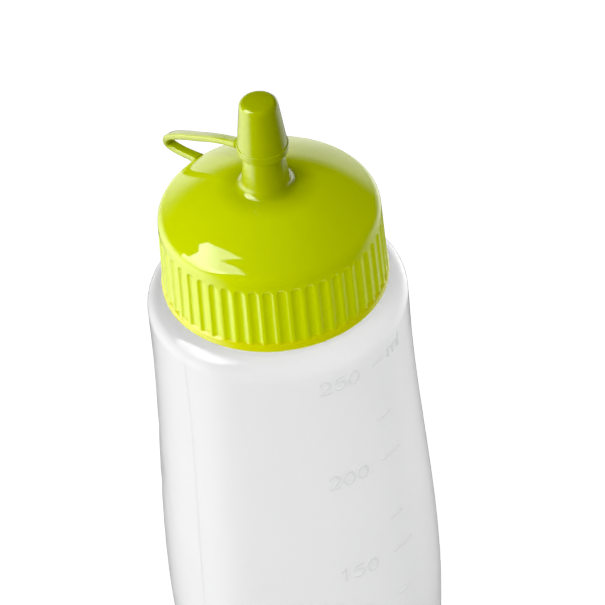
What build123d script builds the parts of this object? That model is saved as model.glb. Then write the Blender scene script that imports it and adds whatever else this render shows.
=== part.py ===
from build123d import *
import math
import os

# A squeeze bottle for sauces: a blow-moulded bottle with a threaded neck, a ribbed screw closure that
# runs up into a spout, a flat sealing washer under the closure, and a cap that pushes onto the spout
# and hangs on a moulded strap.
# Millimetres. +Z is up, and the origin is the middle of the base, on the surface the bottle stands on.

# bottle body
body_height = 127.4        # base to the foot of the neck
foot_radius = 25.9
heel_radius = 6.5          # rounding from the side into the base
belly_radius = 27.8
belly_z = 52.0
waist_radius = 25.4
waist_drop = 10.9          # from the foot of the neck down to the waist
shoulder_corner = 4.0
shoulder_slope = 7.0       # degrees below level, outwards
bottle_wall = 0.9
base_wall = 1.3
push_up = 2.4              # how far the middle of the base is pushed up
standing_ring = 2.2        # width of the ring that the bottle stands on

# neck
neck_radius = 18.45
neck_height = 15.0
neck_wall = 1.5
neck_foot_fillet = 0.8
lip_round = 0.35

# thread shared by neck and closure
thread_lead = 4.2          # rise in one turn
thread_depth = 0.9
thread_base = 2.0          # width of the ridge at its foot
thread_crest = 1.0         # width of the ridge at its crest
thread_turns = 1.5
thread_gap = 0.28          # radial gap between each ridge and the wall that it faces
flank_gap = 0.15           # axial gap between mating ridges
root_sink = 0.4            # how far a ridge is rooted in its wall

# sealing washer
washer_thickness = 1.0
washer_width = 2.6
washer_side_gap = 0.2

# screw closure
rim_gap = 0.8              # between the shoulder and the closure's rim
skirt_wall = 2.3           # at the rim, behind the flange
skirt_draft = 1.7          # degrees
flange_proud = 0.14        # beyond the skirt
flange_height = 2.0
flange_chamfer = 0.4       # on its upper edge
flange_round = 0.4         # on its lower edge
flute_count = 50           # the grip: grooves cut into the skirt, with ribs left between them
flute_start = 5.65         # degrees from +X to the middle of the first flute
flute_radius = 1.65
flute_depth = 0.4
flute_drop = 3.3           # from the dome's edge down to where the flutes' round ends start
roof_height = 2.17         # from the washer's seat up to the dome's edge, before it is rounded
dome_radius = 38.0
dome_edge_fillet = 2.4
dome_wall = 1.6

# spout
spout_height = 7.6         # from the top of the dome to the ledge where the cap stops
spout_taper = 5.9          # degrees
spout_foot_fillet = 1.9
spout_wall = 1.15
seat_ledge = 0.1           # width of the ledge where the cap stops
hole_radius = 1.3
hole_land = 3.0            # length of the straight outlet hole

# spout cap
cap_length = 12.3
cap_body_radius = 4.78     # just above the bead
cap_top_radius = 3.66
cap_bead_proud = 0.22      # beyond the body
cap_bead_height = 1.95
cap_bead_round = 0.65
cap_bead_ledge_round = 0.2
cap_crown = 0.35
cap_edge_fillet = 1.15
cap_side_wall = 0.86
cap_top_wall = 1.4
nose_tip_gap = 0.3         # between the spout's tip and the inside of the cap's top
cap_gap = 0.1              # between the cap and the spout's nose
seat_gap = 0.1             # between the cap's mouth and its stop
pin_gap = 0.1              # between the cap's pin and the outlet hole
pin_reach = 1.6            # how far the pin goes into the outlet hole

# tether strap
strap_width = 2.0
strap_thickness = 1.3
strap_round = 0.4
strap_heading = 125.0      # degrees from +X to the vertical plane that the strap lies in
strap_root_angle = 155.0   # degrees from +X to where it leaves the cap's bead
strap_reach = 23.1         # from its root to the outside of its loop
strap_loop_radius = 1.35
strap_loop_angle = 140.0
strap_buried = 8.3         # how far inside the dome's edge its lower run starts, before it is trimmed
strap_gap = 0.15           # between the strap's root and the cap's bead

cut_past = 1.0             # how far a cut runs on past the face that it opens

# sizes that follow from those above
neck_top = body_height + neck_height
thread_crest_radius = neck_radius + thread_depth
closure_bore = thread_crest_radius + thread_gap
closure_thread_radius = neck_radius + thread_gap
rim_z = body_height + rim_gap
land_z = neck_top + washer_thickness
skirt_radius = closure_bore + skirt_wall
edge_z = land_z + roof_height
edge_radius = skirt_radius - (edge_z - rim_z) * math.tan(math.radians(skirt_draft))
dome_centre_z = edge_z - math.sqrt(dome_radius**2 - edge_radius**2)
nose_z = dome_centre_z + dome_radius + spout_height
cap_z = nose_z + seat_gap
cap_top_z = cap_z + cap_length
cap_bore_top = cap_top_z - cap_top_wall
cap_bead_radius = cap_body_radius + cap_bead_proud
nose_tip_z = cap_bore_top - nose_tip_gap
nose_foot_radius = cap_body_radius - cap_side_wall - cap_gap
nose_tip_radius = cap_top_radius - cap_side_wall - cap_gap
spout_top_radius = nose_foot_radius + seat_ledge


def dome_point(radius, inset=0.0):
    return (radius, dome_centre_z + math.sqrt((dome_radius - inset) ** 2 - radius**2))


def dome_arc(outer, inner, inset=0.0):
    # the dome's outline between two radii, from the outer one to the inner one
    return ThreePointArc(
        dome_point(outer, inset), dome_point((outer + inner) / 2, inset), dome_point(inner, inset)
    )


def spout_foot():
    # where the spout's sloping side, carried on down from the ledge, meets the dome
    slope = math.tan(math.radians(spout_taper))
    reach = spout_top_radius + slope * (nose_z - dome_centre_z)
    height = (reach * slope + math.sqrt(dome_radius**2 * (1 + slope**2) - reach**2)) / (1 + slope**2)
    return (reach - slope * height, dome_centre_z + height)


def turned(edges, corners=()):
    section = make_face(edges)
    for point, radius in corners:
        section = fillet(section.vertices().sort_by_distance(point)[0], radius)
    return revolve(Plane.XZ * section, Axis.Z)


def chain(*points):
    return [Line(a, b) for a, b in zip(points, points[1:])]


def thread_ridge(wall_radius, crest_radius, side):
    # a trapezoid carried up round the axis, wider where it meets the wall; the two ridges of the pair lie
    # either side of the middle of the neck, one above the other
    inwards = -1 if crest_radius < wall_radius else 1
    rise = thread_lead * thread_turns
    pair_gap = (thread_base + thread_crest) / 2 + flank_gap
    start_z = body_height + (neck_height - rise + side * pair_gap) / 2
    path = Pos(0, 0, start_z) * Helix(thread_lead, rise, wall_radius)
    frame = Plane(origin=path @ 0, x_dir=(inwards, 0, 0), z_dir=path % 0)
    depth = abs(crest_radius - wall_radius)
    section = make_face(
        Polyline(
            (-root_sink, -thread_base / 2),
            (0, -thread_base / 2),
            (depth, -thread_crest / 2),
            (depth, thread_crest / 2),
            (0, thread_base / 2),
            (-root_sink, thread_base / 2),
            close=True,
        )
    )
    return sweep(frame * section, path, is_frenet=True)


def domed(radius, rim_height, rise):
    # the arc of a shallow dome from its rim to its top, centred on the axis
    ball = (radius**2 + rise**2) / (2 * rise)
    middle = radius / 2
    middle_z = rim_height + rise - ball + math.sqrt(ball**2 - middle**2)
    return ThreePointArc((radius, rim_height), (middle, middle_z), (0, rim_height + rise))


def bottle_form(inset, floor, neck, top_z):
    # the outer form of the bottle with no inset, or the space inside it
    heel = heel_radius - floor
    heel_centre = foot_radius - inset - heel
    heel_slant = heel * math.sqrt(0.5)
    ring_in = foot_radius - heel_radius - standing_ring
    shoulder_drop = (waist_radius - neck_radius) * math.tan(math.radians(shoulder_slope))
    up = (0, 1)
    foot = (foot_radius - inset, heel_radius)
    belly = (belly_radius - inset, belly_z)
    waist = (waist_radius - inset, body_height - waist_drop)
    corner = (waist_radius - inset, body_height - shoulder_drop - inset)
    neck_foot = (neck, body_height - inset)
    return turned(
        [
            domed(ring_in, floor, push_up),
            Line((ring_in, floor), (heel_centre, floor)),
            ThreePointArc((heel_centre, floor), (heel_centre + heel_slant, heel_radius - heel_slant), foot),
            Spline(foot, belly, tangents=(up, up)),
            Spline(belly, waist, tangents=(up, up)),
            *chain(waist, corner, neck_foot, (neck, top_z), (0, top_z), (0, floor + push_up)),
        ],
        [
            (corner, shoulder_corner - inset),
            (neck_foot, neck_foot_fillet + inset),
            ((neck, top_z), lip_round),
        ],
    )


def bottle():
    shell = bottle_form(0, 0, neck_radius, neck_top)
    hollow = bottle_form(bottle_wall, base_wall, neck_radius - neck_wall, neck_top + cut_past)
    return shell - hollow + thread_ridge(neck_radius, thread_crest_radius, 1)


def washer():
    outer = closure_bore - washer_side_gap
    ring = Cylinder(outer, washer_thickness) - Cylinder(outer - washer_width, washer_thickness)
    return Pos(0, 0, neck_top + washer_thickness / 2) * ring


def nose_radius(z):
    # the cone that the cap grips, from its foot at the ledge to its tip
    along = (z - nose_z) / (nose_tip_z - nose_z)
    return nose_foot_radius + (nose_tip_radius - nose_foot_radius) * along


def closure_form():
    # the closure's outside, solid and without its grip: skirt, dome, spout and the nose that the cap grips
    edge = dome_point(edge_radius)
    foot = spout_foot()
    tip = (nose_tip_radius, nose_tip_z)
    behind_flange = closure_bore + (skirt_wall - flute_depth) / 2
    foot_z = rim_z + flange_height / 2
    skirt_foot = (skirt_radius - (foot_z - rim_z) * math.tan(math.radians(skirt_draft)), foot_z)
    return turned(
        [
            *chain((0, rim_z), (behind_flange, rim_z), (behind_flange, foot_z), skirt_foot, edge),
            dome_arc(edge_radius, foot[0]),
            *chain(
                foot, (spout_top_radius, nose_z), (nose_foot_radius, nose_z), tip, (0, nose_tip_z), (0, rim_z)
            ),
        ],
        [
            (edge, dome_edge_fillet),
            (foot, spout_foot_fillet),
            (tip, lip_round),
        ],
    )


def flute():
    # a groove with a round upper end, parallel to the skirt's sloping side and open at the rim
    length = edge_z - flute_drop - rim_z + cut_past
    hanging = (Align.CENTER, Align.CENTER, Align.MAX)
    rod = Cylinder(flute_radius, length, align=hanging) + Sphere(flute_radius)
    middle = edge_radius + flute_radius - flute_depth
    return Pos(middle, 0, edge_z) * Rot(0, -skirt_draft, 0) * Pos(0, 0, -flute_drop) * rod


def gripped(form):
    # the skirt's flutes, and the flange that closes their lower ends; neighbouring cutters meet outside
    # the skirt, so every other flute is cut at a time
    spots = list(PolarLocations(0, flute_count, flute_start))
    for first in (0, 1):
        form = form - [spot * flute() for spot in spots[first::2]]
    flange_radius = skirt_radius + flange_proud
    flange_z = rim_z + flange_height
    return form + turned(
        chain(
            (0, rim_z),
            (flange_radius, rim_z),
            (flange_radius, flange_z - flange_chamfer),
            (flange_radius - flange_chamfer, flange_z),
            (0, flange_z),
            (0, rim_z),
        ),
        [((flange_radius, rim_z), flange_round)],
    )


def closure():
    land_radius = closure_bore - washer_width
    inner_foot = spout_foot()[0] - spout_wall
    below = rim_z - cut_past
    above = nose_tip_z + cut_past
    hollow = turned(
        [
            *chain(
                (0, below),
                (closure_bore, below),
                (closure_bore, land_z),
                (land_radius, land_z),
                dome_point(land_radius, dome_wall),
            ),
            dome_arc(land_radius, inner_foot, dome_wall),
            *chain(
                dome_point(inner_foot, dome_wall),
                (hole_radius, nose_tip_z - hole_land),
                (hole_radius, above),
                (0, above),
                (0, below),
            ),
        ]
    )
    return gripped(closure_form()) - hollow + thread_ridge(closure_bore, closure_thread_radius, -1)


def spout_cap():
    bead_z = cap_z + cap_bead_height
    crown_z = cap_top_z - cap_crown
    top_edge = (cap_top_radius, crown_z)
    below = cap_z - cut_past
    shell = turned(
        [
            *chain(
                (0, cap_z),
                (cap_bead_radius, cap_z),
                (cap_bead_radius, bead_z),
                (cap_body_radius, bead_z),
                top_edge,
            ),
            domed(cap_top_radius, crown_z, cap_crown),
            Line((0, cap_top_z), (0, cap_z)),
        ],
        [
            ((cap_bead_radius, cap_z), cap_bead_round),
            ((cap_bead_radius, bead_z), cap_bead_ledge_round),
            (top_edge, cap_edge_fillet),
        ],
    )
    bore = turned(
        chain(
            (0, below),
            (nose_radius(below) + cap_gap, below),
            (nose_radius(cap_bore_top) + cap_gap, cap_bore_top),
            (0, cap_bore_top),
            (0, below),
        )
    )
    hanging = (Align.CENTER, Align.CENTER, Align.MAX)
    pin = Cylinder(hole_radius - pin_gap, nose_tip_gap + pin_reach, align=hanging)
    return shell - bore + Pos(0, 0, cap_bore_top) * pin


def strap():
    # the strap leaves the cap's bead, falls outwards, turns back on a tight loop and joins the dome's edge
    heading = math.radians(strap_heading)
    root_angle = math.radians(strap_root_angle)
    plane = Plane(
        origin=(cap_bead_radius * math.cos(root_angle), cap_bead_radius * math.sin(root_angle), 0),
        x_dir=(math.cos(heading), math.sin(heading), 0),
        z_dir=(math.sin(heading), -math.cos(heading), 0),
    )
    root_z = cap_z + cap_bead_height / 2
    loop_start = (strap_reach - strap_loop_radius, edge_z)
    lower = Line((edge_radius - strap_buried, edge_z), loop_start)
    loop = JernArc(loop_start, (1, 0), strap_loop_radius, strap_loop_angle)
    upper = TangentArc(loop @ 1, (-strap_thickness, root_z), tangent=loop % 1)
    path = plane * (Curve() + [lower, loop, upper])
    section = Plane(origin=path @ 0, z_dir=path % 0, x_dir=(0, 0, 1)) * RectangleRounded(
        strap_thickness, strap_width, strap_round
    )
    bead_space = Pos(0, 0, root_z) * Cylinder(cap_bead_radius + strap_gap, cap_length)
    return sweep(section, path) - bead_space - closure_form()


os.makedirs("parts", exist_ok=True)
nodes = {
    "bottle": bottle(),
    "sealing_washer": washer(),
    "screw_closure": closure(),
    "spout_cap": spout_cap(),
    "tether_strap": strap(),
}
for name, shape in nodes.items():
    export_step(shape, f"parts/{name}.step")
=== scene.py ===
import math

import bpy
from mathutils import Matrix, Vector
from mathutils.bvhtree import BVHTree


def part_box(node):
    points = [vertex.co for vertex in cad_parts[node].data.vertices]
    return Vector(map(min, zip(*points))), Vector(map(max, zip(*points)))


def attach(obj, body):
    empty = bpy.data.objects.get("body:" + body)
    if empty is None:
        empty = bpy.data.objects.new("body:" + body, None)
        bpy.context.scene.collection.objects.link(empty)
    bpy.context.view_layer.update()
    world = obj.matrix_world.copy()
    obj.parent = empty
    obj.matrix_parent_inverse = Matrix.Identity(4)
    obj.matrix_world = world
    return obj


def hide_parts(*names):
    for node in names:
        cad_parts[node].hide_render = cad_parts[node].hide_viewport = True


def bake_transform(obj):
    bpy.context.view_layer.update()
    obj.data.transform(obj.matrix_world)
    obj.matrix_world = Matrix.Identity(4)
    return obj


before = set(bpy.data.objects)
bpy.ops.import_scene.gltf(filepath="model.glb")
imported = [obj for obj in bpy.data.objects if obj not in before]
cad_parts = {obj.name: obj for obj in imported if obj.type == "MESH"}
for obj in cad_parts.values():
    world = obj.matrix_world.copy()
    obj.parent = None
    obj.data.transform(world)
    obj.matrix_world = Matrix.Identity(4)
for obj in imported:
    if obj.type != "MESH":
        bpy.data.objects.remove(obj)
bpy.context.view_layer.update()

millimetre = 0.001
outside = 0.1                                     # m from the axis, clear of the bottle's wall
bevelSamples = 6
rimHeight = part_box("screw_closure")[0].z          # bottom edge of the lime closure
scene = bpy.context.scene
scene.view_settings.view_transform = "Standard"
scene.view_settings.look = "None"


def polar(radius, degrees, z):
    angle = math.radians(degrees)
    return Vector((radius * math.cos(angle), radius * math.sin(angle), z))


def towards(heading, rise):
    return polar(math.cos(math.radians(rise)), heading, math.sin(math.radians(rise)))


# the camera is fitted to the closure's rim in the photograph
cameraFit = {
    "frame": 605,                 # pixels
    "rim": (275.76, 275.35),      # pixel of the middle of the closure's bottom edge
    "focal": 4527.4,              # pixels
    "tilt": 41.60,                # degrees that it looks down
    "roll": -5.82,
    "distance": 0.87451,          # m from the rim's middle
    "sensor": 36.0,               # mm
    "reach": (0.01, 20),          # m, nearest and farthest that it sees
}


def makeCamera():
    fit = cameraFit
    middle = fit["frame"] / 2
    tilt, roll = math.radians(fit["tilt"]), math.radians(fit["roll"])
    right = Vector((1, 0, 0))
    ahead = Vector((0, math.cos(tilt), -math.sin(tilt)))
    up = right.cross(ahead)
    rolled = Matrix((
        right * math.cos(roll) + up * math.sin(roll),
        right * math.sin(roll) - up * math.cos(roll),
        ahead,
    ))
    offset = [(pixel - middle) / fit["focal"] for pixel in fit["rim"]]
    turn = Vector((0, 0, 1)).rotation_difference(Vector((*offset, 1))).to_matrix()
    view = turn @ rolled                      # rows: right, down and ahead in the picture
    data = bpy.data.cameras.new("camera")
    data.sensor_width = fit["sensor"]
    data.lens = fit["focal"] / fit["frame"] * fit["sensor"]
    data.clip_start, data.clip_end = fit["reach"]
    camera = bpy.data.objects.new("camera", data)
    rotation = Matrix((view[0], -view[1], -view[2])).transposed()
    place = Vector((0, 0, rimHeight)) - ahead * fit["distance"]
    camera.matrix_world = Matrix.Translation(place) @ rotation.to_4x4()
    scene.collection.objects.link(camera)
    scene.camera = camera


makeCamera()
print("camera set")


def newMaterial(name):
    material = bpy.data.materials.new(name)
    material.use_nodes = True
    return material, material.node_tree.nodes, material.node_tree.links


def setSockets(node, values):
    for key, value in values.items():
        node.inputs[key].default_value = value


def noiseNode(nodes, links, scale, detail=4.0, stretch=1.0):
    # grain of so many grains a metre, drawn out upwards where stretch is below 1
    mapping = nodes.new("ShaderNodeMapping")
    mapping.inputs["Scale"].default_value = (1, 1, stretch)
    noise = nodes.new("ShaderNodeTexNoise")
    noise.inputs["Scale"].default_value = scale
    noise.inputs["Detail"].default_value = detail
    links.new(nodes.new("ShaderNodeTexCoord").outputs["Object"], mapping.inputs["Vector"])
    links.new(mapping.outputs["Vector"], noise.inputs["Vector"])
    return noise.outputs["Fac"]


def mapped(nodes, links, source, low, high, fromLow=0.3, fromHigh=0.7, smooth=False):
    # what runs from low to high while the source runs from fromLow to fromHigh
    span = nodes.new("ShaderNodeMapRange")
    if smooth:
        span.interpolation_type = "SMOOTHSTEP"
    setSockets(span, {"From Min": fromLow, "From Max": fromHigh, "To Min": low, "To Max": high})
    links.new(source, span.inputs["Value"])
    return span.outputs["Result"]


def mathNode(nodes, links, operation, first, second=None):
    step = nodes.new("ShaderNodeMath")
    step.operation = operation
    for socket, value in zip(step.inputs, (first, second)):
        if isinstance(value, (int, float)):
            socket.default_value = value
        elif value is not None:
            links.new(value, socket)
    return step.outputs["Value"]


def heightOf(nodes, links):
    split = nodes.new("ShaderNodeSeparateXYZ")
    links.new(nodes.new("ShaderNodeTexCoord").outputs["Object"], split.inputs["Vector"])
    return split.outputs["Z"]


def mixedColour(nodes, links, factor, first, second):
    mix = nodes.new("ShaderNodeMix")
    mix.data_type = "RGBA"
    for key, value in (("A", first), ("B", second)):
        if isinstance(value, tuple):
            mix.inputs[key].default_value = (*value, 1)
        else:
            links.new(value, mix.inputs[key])
    links.new(factor, mix.inputs["Factor"])
    return mix.outputs["Result"]


def bumped(nodes, links, height, strength, depth, rounded=None):
    # waves depth mm deep, on corners rounded off by the socket rounded
    bump = nodes.new("ShaderNodeBump")
    setSockets(bump, {"Strength": strength, "Distance": depth * millimetre})
    links.new(height, bump.inputs["Height"])
    if rounded:
        bevel = nodes.new("ShaderNodeBevel")
        bevel.samples = bevelSamples
        links.new(rounded, bevel.inputs["Radius"])
        links.new(bevel.outputs["Normal"], bump.inputs["Normal"])
    return bump.outputs["Normal"]


# the lime closure, cap and strap are glossy moulded polypropylene
limeLook = {
    "colour": (0.560, 0.655, 0.0),
    "deeper": (0.535, 0.635, 0.0),
    "rimLitThrough": (0.600, 0.620, 0.0),     # painted light: the thin lower rim is coloured yellower for the light that comes through it
    "rimSpan": (1.6, 2.8),              # mm above the rim where that ends
    "flowScale": 55.0,
    "flowStretch": 0.45,
    "grainScale": 900.0,
    "grainDetail": 2.0,
    "roughness": (0.035, 0.06),
    "waveStrength": 0.03,
    "waveDepth": 0.2,                   # mm
    "softEdge": (0.5, 0.0),             # mm, how round the flutes' corners are, and those above them
    "softSpan": (13.5, 14.5),           # mm above the rim where the one gives way to the other
    "glow": (0.35, 0.26),               # painted light: emission strengths standing in for light that comes through the skirt and through the dome
    "glowTurn": (12.0, 18.0),           # mm above the rim where the one gives way to the other
    "glowEnd": (22.5, 24.0),            # mm above the rim where it ends
    "specular": 0.5,
    "scatter": 0.15,
    "scatterDepth": 1.0,                # mm
    "scatterColours": (1.0, 0.9, 0.1),
}


def limePlastic(name, paintedGlow):
    look = limeLook
    material, nodes, links = newMaterial(name)
    shader = nodes["Principled BSDF"]
    flow = noiseNode(nodes, links, look["flowScale"], stretch=look["flowStretch"])
    grain = noiseNode(nodes, links, look["grainScale"], look["grainDetail"])
    height = heightOf(nodes, links)
    above = {
        key: [rimHeight + z * millimetre for z in look[key]]
        for key in ("rimSpan", "softSpan", "glowTurn", "glowEnd")
    }
    factor = mapped(nodes, links, flow, 0, 1)
    body = mixedColour(nodes, links, factor, look["colour"], look["deeper"])
    # painted light: up to rimSpan above the rim the colour turns yellower, for light that comes through
    # the thin rim
    aboveRim = mapped(nodes, links, height, 0, 1, *above["rimSpan"], smooth=True)
    colour = mixedColour(nodes, links, aboveRim, look["rimLitThrough"], body)
    links.new(colour, shader.inputs["Base Color"])
    # painted light: the closure glows, more on the skirt than on the dome, for light that comes through
    # its wall
    if paintedGlow:
        skirt, dome = look["glow"]
        glow = mapped(nodes, links, height, skirt, dome, *above["glowTurn"], smooth=True)
        left = mapped(nodes, links, height, 1, 0, *above["glowEnd"], smooth=True)
        links.new(colour, shader.inputs["Emission Color"])
        links.new(mathNode(nodes, links, "MULTIPLY", glow, left), shader.inputs["Emission Strength"])
    links.new(mapped(nodes, links, grain, *look["roughness"]), shader.inputs["Roughness"])
    edges = (size * millimetre for size in look["softEdge"])
    rounded = mapped(nodes, links, height, *edges, *above["softSpan"])
    waves = bumped(nodes, links, flow, look["waveStrength"], look["waveDepth"], rounded)
    links.new(waves, shader.inputs["Normal"])
    setSockets(shader, {
        "Specular IOR Level": look["specular"],
        "Subsurface Weight": look["scatter"],
        "Subsurface Radius": look["scatterColours"],
        "Subsurface Scale": look["scatterDepth"] * millimetre,
    })
    return material


# the bottle is milky blow-moulded polyethylene
milkLook = {
    "colour": (0.93, 0.935, 0.935),
    "thinner": (0.915, 0.92, 0.925),
    "streakScale": 25.0,
    "streakDetail": 1.0,
    "streakStretch": 0.2,
    "roughness": (0.20, 0.08),          # of the wall, and of the shoulder
    "roughnessSpan": (112.0, 120.0),    # mm, where the one gives way to the other
    "waveStrength": 0.02,
    "waveDepth": 0.3,                   # mm
    "specular": 0.35,
    "depth": 1.5,                       # mm that light wanders in the wall
    "glow": 0.13,                       # painted light: an emission standing in for light that comes through the wall from inside
    "reliefPaintedShade": 0.9,                 # painted shade: how much darker raised marks are coloured than the wall, for the shade at their edges
}


def milkyPlastic(name, depth, paintedShade=1.0):
    look = milkLook
    # painted shade: a factor below 1 darkens the whole colour, standing in for the shade at the edges of
    # raised marks
    colour, thinner = (tuple(part * paintedShade for part in look[key]) for key in ("colour", "thinner"))
    material, nodes, links = newMaterial(name)
    shader = nodes["Principled BSDF"]
    streak = noiseNode(nodes, links, look["streakScale"], look["streakDetail"], look["streakStretch"])
    factor = mapped(nodes, links, streak, 0, 1)
    links.new(mixedColour(nodes, links, factor, colour, thinner), shader.inputs["Base Color"])
    low, high = (z * millimetre for z in look["roughnessSpan"])
    satin = mapped(nodes, links, heightOf(nodes, links), *look["roughness"], low, high)
    links.new(satin, shader.inputs["Roughness"])
    waves = bumped(nodes, links, streak, look["waveStrength"], look["waveDepth"])
    links.new(waves, shader.inputs["Normal"])
    # painted light: the emission makes the wall and raised marks glow, standing in for light that comes
    # through from inside
    setSockets(shader, {
        "Subsurface Weight": 1.0 if depth else 0.0,
        "Subsurface Radius": (1.0, 1.0, 1.0),
        "Subsurface Scale": depth * millimetre,
        "Specular IOR Level": look["specular"],
        "Emission Color": (1, 1, 1, 1),
        "Emission Strength": look["glow"],
    })
    return material


sealLook = {
    "colour": (0.80, 0.80, 0.77),
    "darker": (0.74, 0.74, 0.71),
    "grainScale": 600.0,
    "roughness": (0.55, 0.7),
}


def sealRubber():
    look = sealLook
    material, nodes, links = newMaterial("sealRubber")
    shader = nodes["Principled BSDF"]
    grain = noiseNode(nodes, links, look["grainScale"])
    factor = mapped(nodes, links, grain, 0, 1)
    colour = mixedColour(nodes, links, factor, look["colour"], look["darker"])
    links.new(colour, shader.inputs["Base Color"])
    links.new(mapped(nodes, links, grain, *look["roughness"]), shader.inputs["Roughness"])
    return material


# the closure's material has a painted glow for the light that comes through it; the cap's and strap's
# have none
limeHollow = limePlastic("limeHollow", True)      # of the closure, which light comes through
limeSolid = limePlastic("limeSolid", False)       # of the cap and the strap
seal = sealRubber()
milky = milkyPlastic("milkyPlastic", milkLook["depth"])
# raised marks get painted shade: a darker copy of the milky plastic
relief = milkyPlastic("milkyRelief", 0, milkLook["reliefPaintedShade"])
finishes = {
    "bottle": milky,
    "screw_closure": limeHollow,
    "spout_cap": limeSolid,
    "tether_strap": limeSolid,
    "sealing_washer": seal,
}
for node, material in finishes.items():
    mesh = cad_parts[node].data
    mesh.materials.clear()
    mesh.materials.append(material)
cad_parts["screw_closure"].visible_diffuse = False     # its lime hardly tints the milky shoulder
print("materials made")


def newPiece(name, vertices, faces, material):
    mesh = bpy.data.meshes.new(name)
    mesh.from_pydata(vertices, [], faces)
    mesh.polygons.foreach_set("use_smooth", [True] * len(mesh.polygons))
    mesh.materials.append(material)
    mesh.update()
    piece = bpy.data.objects.new(name, mesh)
    scene.collection.objects.link(piece)
    return piece


def ringFaces(rings, size, closed=False):
    # quads between neighbouring rings of one loft, with its two ends filled unless it closes on itself
    faces = []
    for i in range(rings if closed else rings - 1):
        here, there = i * size, (i + 1) % rings * size
        for j in range(size):
            k = (j + 1) % size
            faces.append((here + j, here + k, there + k, there + j))
    if not closed:
        faces.append(tuple(range(size))[::-1])
        faces.append(tuple(range((rings - 1) * size, rings * size)))
    return faces


# the strap ties the cap to the dome's edge
strapShape = {
    # mm across, back and above the closure's rim, from the cap's bead round to the dome
    "route": (
        (-4.3, 1.9, 32.5), (-8.3, 6.4, 30.4), (-12.0, 11.4, 27.2), (-15.0, 15.9, 24.2),
        (-17.3, 19.3, 21.5), (-18.1, 21.1, 19.2), (-17.6, 21.2, 17.8), (-15.8, 19.6, 17.35),
        (-14.0, 17.9, 17.4), (-12.4, 16.3, 17.4),
    ),
    "steps": 8,                   # stations between two points of the route
    "headings": (125.0, 136.0),   # degrees from +X of the run out to the loop and of the run back
    "turnsOver": (0.45, 0.75),    # share of the length over which the band twists from one to the other
    "width": 2.05,                # mm
    "thickness": 1.35,
    "corner": 0.42,
    "cornerSteps": 4,
    "flare": 0.16,                # how much wider it gets at its two ends
    "flareReach": 1.5,            # mm
    "loopPoint": 5,               # the route's point at the loop, counted from the cap's bead
}


def throughPoints(points, steps):
    # a smooth line through the points of a route
    padded = [points[0] * 2 - points[1], *points, points[-1] * 2 - points[-2]]
    line = []
    for a, b, c, d in zip(padded, padded[1:], padded[2:], padded[3:]):
        for i in range(steps):
            t = i / steps
            bend = (a * 2 - b * 5 + c * 4 - d) * t**2 + (b * 3 - a - c * 3 + d) * t**3
            line.append((b * 2 + (c - a) * t + bend) / 2)
    return line + [points[-1]]


def roundedSection(width, thickness, corner, steps):
    points = []
    for quarter, (x, y) in enumerate(((1, 1), (-1, 1), (-1, -1), (1, -1))):
        for i in range(steps + 1):
            angle = math.pi / 2 * (quarter + i / steps)
            points.append((
                x * (width / 2 - corner) + corner * math.cos(angle),
                y * (thickness / 2 - corner) + corner * math.sin(angle),
            ))
    return points


def makeStrap():
    shape = strapShape
    route = [Vector(point) * millimetre + Vector((0, 0, rimHeight)) for point in shape["route"]]
    path = throughPoints(route, shape["steps"])
    sizes = (shape[key] * millimetre for key in ("width", "thickness", "corner"))
    section = roundedSection(*sizes, shape["cornerSteps"])
    last = len(path) - 1
    twistStart, twistEnd = shape["turnsOver"]
    vertices = []
    for i, point in enumerate(path):
        ahead = (path[min(i + 1, last)] - path[max(i - 1, 0)]).normalized()
        share = min(max((i / last - twistStart) / (twistEnd - twistStart), 0), 1)
        heading = shape["headings"][0] * (1 - share) + shape["headings"][1] * share
        across = polar(1, heading - 90, 0)
        across = (across - ahead * across.dot(ahead)).normalized()
        above = ahead.cross(across)
        wider = 1
        for end in (path[0], path[-1]):
            away = (point - end).length / millimetre / shape["flareReach"]
            wider += shape["flare"] * math.exp(-(away**2))
        vertices += [point + (across * x + above * y) * wider for x, y in section]
    strap = newPiece("capStrap", vertices, ringFaces(len(path), len(section)), limeSolid)
    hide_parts("tether_strap")
    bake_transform(strap)


makeStrap()
print("strap made")


# the filling scale and the parting lines stand out from the bottle's wall
scaleMarks = {
    "digitHeight": 3.0,           # mm
    "pitch": 3.1,                 # mm from one number to the next
    "unitSpread": 1.25,           # how much wider the letters of ml are set
    "unitRise": 0.4,              # mm that they stand above the numbers' foot
    "labelStart": -76.3,          # degrees from +X
    "tickStart": -49.3,
    "unitStart": -38.6,
    "labelDrop": 1.35,            # mm from a tick down to its number's foot
    "stroke": (0.56, 0.18),       # mm wide and proud of the wall
    "ticks": {"label": 5.2, "between": 3.6},
    "heights": {                  # mm above the base, for each mark in ml
        250: 119.75, 225: 105.55, 200: 95.1, 175: 79.5, 150: 70.8,
        125: 58.9, 100: 48.9, 75: 37.2, 50: 26.2, 25: 14.2,
    },
    "labelEvery": 50,             # ml
    "spacing": 0.3,               # mm at most from point to point along a stroke
    "arcStep": 15,                # degrees from point to point round an arc
    "sink": 0.12,                 # mm that a ridge's foot lies in the wall
    "across": (0.5, 0.42, 0.2),   # share of a ridge's width at its foot, flank and crest
    "flank": 0.55,                # share of its height at its flank
}

seams = {
    "headings": {"left": -138.5, "right": 41.5},    # degrees from +X
    "stroke": (0.18, 0.02),       # mm wide and proud of the wall
    "foot": 7.0,                  # mm above the base
    "bend": 112.0,                # mm, where the wall starts to turn in to the shoulder
    "top": 31.0,                  # degrees above level, seen from the axis at that height
    "steps": (60, 30),            # up the wall and over the shoulder
}

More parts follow.
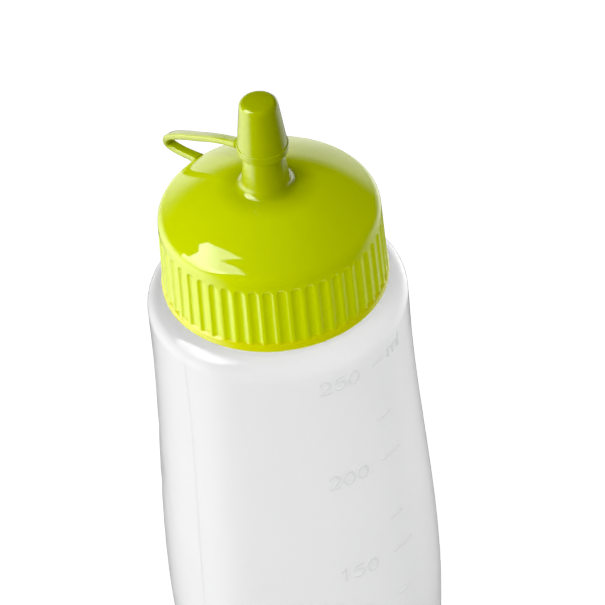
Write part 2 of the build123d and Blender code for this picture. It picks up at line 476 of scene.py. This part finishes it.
# each character's strokes on a field one unit high: corner points, or an arc's middle, radii, from and to
characters = {
    "0": [[((0.40, 0.50), (0.37, 0.50), 0, 360)]],
    "1": [[(0.20, 0.80), (0.45, 1.00), (0.45, 0.00)]],
    "2": [[((0.40, 0.70), (0.34, 0.30), 165, -35), (0.04, 0.00), (0.78, 0.00)]],
    "5": [[(0.72, 1.00), (0.17, 1.00), (0.11, 0.56), ((0.38, 0.33), (0.37, 0.33), 125, -150)]],
    "m": [
        [(0.00, 0.00), (0.00, 0.64)],
        [((0.27, 0.42), (0.27, 0.22), 180, 0), (0.54, 0.00)],
        [((0.81, 0.42), (0.27, 0.22), 180, 0), (1.08, 0.00)],
    ],
    "l": [[(0.00, 1.00), (0.00, 0.00)]],
}


def bottleSurface():
    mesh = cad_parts["bottle"].data
    vertices = [v.co.copy() for v in mesh.vertices]
    return BVHTree.FromPolygons(vertices, [tuple(p.vertices) for p in mesh.polygons])


def onBottle(surface, heading, z, rise=0.0):
    # the wall's point and outward direction, looking at the axis at this height from outside
    away = towards(heading, rise)
    eye = Vector((0, 0, z * millimetre)) + away * outside
    point, normal, _, _ = surface.ray_cast(eye, -away)
    return point, normal


def dense(points):
    filled = [points[0]]
    for a, b in zip(points, points[1:]):
        count = max(1, round((b - a).length / scaleMarks["spacing"]))
        filled += [a + (b - a) * (i + 1) / count for i in range(count)]
    return filled


def strokePoints(stroke, height):
    points = []
    for item in stroke:
        if len(item) == 2:
            points.append(Vector(item))
            continue
        (cx, cy), (rx, ry), start, end = item
        count = round(abs(end - start) / scaleMarks["arcStep"])
        for i in range(count + 1):
            angle = math.radians(start + (end - start) * i / count)
            points.append(Vector((cx + rx * math.cos(angle), cy + ry * math.sin(angle))))
    return dense([point * height for point in points])


def raisedLine(places, size, closed=False):
    # a low rounded ridge along points of the wall, with its foot sunk into it
    width, proud = (value * millimetre for value in size)
    levels = (-scaleMarks["sink"] * millimetre, proud * scaleMarks["flank"], proud)
    half = list(zip(scaleMarks["across"], levels))
    profile = [(-across, above) for across, above in half] + half[::-1]
    vertices = []
    last = len(places) - 1
    for i, (point, normal) in enumerate(places):
        if closed:
            before, after = places[i - 1][0], places[(i + 1) % len(places)][0]
        else:
            before, after = places[max(i - 1, 0)][0], places[min(i + 1, last)][0]
        side = normal.cross(after - before).normalized()
        vertices += [point + side * across * width + normal * above for across, above in profile]
    return vertices, ringFaces(len(places), len(profile), closed)


def joined(name, lines, material):
    vertices, faces = [], []
    for points, quads in lines:
        faces += [tuple(len(vertices) + i for i in quad) for quad in quads]
        vertices += points
    piece = newPiece(name, vertices, faces, material)
    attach(piece, "bottle")
    return piece


def written(surface, text, start, baseline, spread=1):
    marks = scaleMarks
    radius = onBottle(surface, start, baseline)[0].xy.length / millimetre
    lines = []
    for place, letter in enumerate(text):
        across = place * marks["pitch"] * spread
        for stroke in characters[letter]:
            flat = strokePoints(stroke, marks["digitHeight"])
            closed = (flat[0] - flat[-1]).length < marks["spacing"] / 2
            places = []
            for point in flat[:-1] if closed else flat:
                heading = start + math.degrees((point.x + across) / radius)
                places.append(onBottle(surface, heading, baseline + point.y))
            lines.append(raisedLine(places, marks["stroke"], closed))
    return lines


def makeScale(surface):
    marks = scaleMarks
    numbers, ticks = [], []
    for volume, z in marks["heights"].items():
        labelled = volume % marks["labelEvery"] == 0
        length = marks["ticks"]["label" if labelled else "between"]
        baseline = z - marks["labelDrop"]
        if volume == max(marks["heights"]):       # the top mark is short, and ml follows it
            length = marks["ticks"]["between"]
            unitLine = baseline + marks["unitRise"]
            numbers += written(surface, "ml", marks["unitStart"], unitLine, marks["unitSpread"])
        if labelled:
            numbers += written(surface, str(volume), marks["labelStart"], baseline)
        radius = onBottle(surface, marks["tickStart"], z)[0].xy.length / millimetre
        places = []
        for point in dense([Vector((0, 0)), Vector((length, 0))]):
            places.append(onBottle(surface, marks["tickStart"] + math.degrees(point.x / radius), z))
        ticks.append(raisedLine(places, marks["stroke"]))
    joined("scaleNumbers", numbers, relief)
    joined("scaleTicks", ticks, relief)


def makeSeams(surface):
    foot, bend, top = (seams[key] for key in ("foot", "bend", "top"))
    up, over = seams["steps"]
    for side, heading in seams["headings"].items():
        places = [onBottle(surface, heading, foot + i * (bend - foot) / up) for i in range(up + 1)]
        places += [onBottle(surface, heading, bend, top * (i + 1) / over) for i in range(over)]
        joined(f"{side}PartingLine", [raisedLine(places, seams["stroke"])], milky)


wall = bottleSurface()
makeScale(wall)
makeSeams(wall)
print("scale and parting lines made")


studio = {
    "floorSize": 4.0,             # m
    "floorColour": (0.9, 0.9, 0.9, 1),
    "floorRoughness": 0.9,
    "floorLift": (0.7, 1.0),      # what keeps the floor white for the camera, near and far
    "floorSpan": (0.25, 0.8),     # m from the bottle: where far begins
    "panelDistance": 1.0,         # m
    "panelHeading": 172.0,        # degrees from +X
    "panelHeight": 55.0,          # degrees above level
    "panelGlow": (3.4, 9.8, 0.57),    # at its foot, at its middle, and what share is left at its top
    "panelGlowHeights": (0.40, 0.85, 0.93, 1.02),    # m
    "panelCorners": (             # mm across and up, seen from the bottle
        (-177, 2), (-141, 34), (-44, 152), (50, 266), (105, 345), (58, 102),
        (267, 375), (470, 0), (620, -220), (640, -700), (560, -930), (60, -930),
        (-60, -500), (-160, -248), (-116, -150), (-108, -90), (-182, -79),
    ),
    "softDistance": 1.2,          # m
    "softSize": 0.8,
    "closureLights": (            # degrees from +X, degrees above level, watts
        ("top", 0.0, 88.0, 2.0),
        ("left", 180.0, 30.0, 17.5),
        ("frontLeft", -138.0, 36.0, 7.4),
        ("right", 0.0, 35.0, 1.5),
        ("lowLeft", -150.0, 5.0, 2.4),
    ),
    "bottleLights": (
        ("left", 180.0, 30.0, 1.0),
        ("frontLeft", -130.0, 30.0, 6.2),
        ("frontRight", -45.0, 30.0, 3.1),
        ("right", 0.0, 35.0, 4.8),
        ("backLeft", 145.0, 35.0, 0.5),
        ("lowLeft", -150.0, 5.0, 1.5),
    ),
}

# bright patches round the bottle, in degrees left of straight behind it and degrees above level, each as
# where the patch starts, is full, starts to fade and ends, and then its brightness
brightPatches = (
    ((0, 95, 103, 135), (-75, -10, -2, 24), 3.9),
    ((-60, -35, 15, 40), (-40, -12, 8, 20), 1.4),
    ((-95, -58, -40, -10), (-55, -16, -14, 12), 1.6),
)


def makeFloor():
    size = studio["floorSize"] / 2
    corners = [(-size, -size, 0), (size, -size, 0), (size, size, 0), (-size, size, 0)]
    material, nodes, links = newMaterial("whiteFloor")
    shader = nodes["Principled BSDF"]
    setSockets(shader, {
        "Base Color": studio["floorColour"],
        "Roughness": studio["floorRoughness"],
        "Specular IOR Level": 0.0,
        "Emission Color": (1, 1, 1, 1),
    })
    seen = nodes.new("ShaderNodeLightPath").outputs["Is Camera Ray"]
    away = nodes.new("ShaderNodeVectorMath")
    away.operation = "LENGTH"
    links.new(nodes.new("ShaderNodeTexCoord").outputs["Object"], away.inputs[0])
    lift = mapped(nodes, links, away.outputs["Value"], *studio["floorLift"], *studio["floorSpan"])
    links.new(mathNode(nodes, links, "MULTIPLY", seen, lift), shader.inputs["Emission Strength"])
    floor = newPiece("floor", corners, [(0, 1, 2, 3)], material)
    floor.visible_glossy = False
    return floor


def makeWorld():
    world = bpy.data.worlds.new("surroundings")
    scene.world = world
    world.use_nodes = True
    nodes, links = world.node_tree.nodes, world.node_tree.links
    background = nodes["Background"]
    split = nodes.new("ShaderNodeSeparateXYZ")
    links.new(nodes.new("ShaderNodeTexCoord").outputs["Generated"], split.inputs["Vector"])
    x, y, z = (split.outputs[axis] for axis in "XYZ")
    leftward = mathNode(nodes, links, "MULTIPLY", x, -1.0)
    heading = mathNode(nodes, links, "DEGREES", mathNode(nodes, links, "ARCTAN2", leftward, y))
    height = mathNode(nodes, links, "DEGREES", mathNode(nodes, links, "ARCSINE", z))
    total = 0.0
    for across, above, glow in brightPatches:
        patch = glow
        for source, (start, full, fade, end) in ((heading, across), (height, above)):
            rise = mapped(nodes, links, source, 0, 1, start, full, smooth=True)
            fall = mapped(nodes, links, source, 1, 0, fade, end, smooth=True)
            band = mathNode(nodes, links, "MULTIPLY", rise, fall)
            patch = mathNode(nodes, links, "MULTIPLY", band, patch)
        total = mathNode(nodes, links, "ADD", patch, total)
    rays = nodes.new("ShaderNodeLightPath").outputs
    mirrored = mathNode(nodes, links, "MULTIPLY", total, rays["Is Glossy Ray"])
    strength = mathNode(nodes, links, "ADD", mirrored, rays["Is Camera Ray"])
    links.new(strength, background.inputs["Strength"])
    background.inputs["Color"].default_value = (1, 1, 1, 1)


def makePanel():
    # a bright panel with a stepped outline, which the dome mirrors on its front left
    out = towards(studio["panelHeading"], studio["panelHeight"])
    across = Vector((0, 0, 1)).cross(out).normalized()
    up = out.cross(across)
    middle = Vector((0, 0, rimHeight)) + out * studio["panelDistance"]
    corners = [middle + (across * x + up * y) * millimetre for x, y in studio["panelCorners"]]
    material, nodes, links = newMaterial("panelGlow")
    nodes.remove(nodes["Principled BSDF"])
    glow = nodes.new("ShaderNodeEmission")
    foot, full, left = studio["panelGlow"]
    bottom, bright, fade, top = studio["panelGlowHeights"]
    height = heightOf(nodes, links)
    rise = mapped(nodes, links, height, foot, full, bottom, bright)
    fall = mapped(nodes, links, height, 1, left, fade, top)
    links.new(mathNode(nodes, links, "MULTIPLY", rise, fall), glow.inputs["Strength"])
    links.new(glow.outputs["Emission"], nodes["Material Output"].inputs["Surface"])
    panel = newPiece("panel", corners, [tuple(range(len(corners)))], material)
    panel.visible_camera = panel.visible_diffuse = False


def makeSoftLights(group, lit):
    # soft round lights that reach only the objects in lit
    receivers = bpy.data.collections.new(group)
    for thing in lit:
        receivers.objects.link(thing)
    for name, heading, height, power in studio[group]:
        data = bpy.data.lights.new(f"{group}.{name}", "AREA")
        data.shape = "DISK"
        data.size = studio["softSize"]
        data.energy = power
        light = bpy.data.objects.new(data.name, data)
        out = towards(heading, height)
        light.location = Vector((0, 0, rimHeight)) + out * studio["softDistance"]
        light.rotation_mode = "QUATERNION"
        light.rotation_quaternion = out.to_track_quat("Z", "Y")
        light.visible_glossy = light.visible_camera = False
        light.light_linking.receiver_collection = receivers
        scene.collection.objects.link(light)


floor = makeFloor()
makeWorld()
makePanel()
shown = [thing for thing in scene.objects if thing.type == "MESH" and thing.data.materials]
for group, lit in (
    ("bottleLights", (milky, relief, floor.data.materials[0])),
    ("closureLights", (limeHollow, limeSolid, seal)),
):
    makeSoftLights(group, [thing for thing in shown if thing.data.materials[0] in lit])
print("floor and lights made")
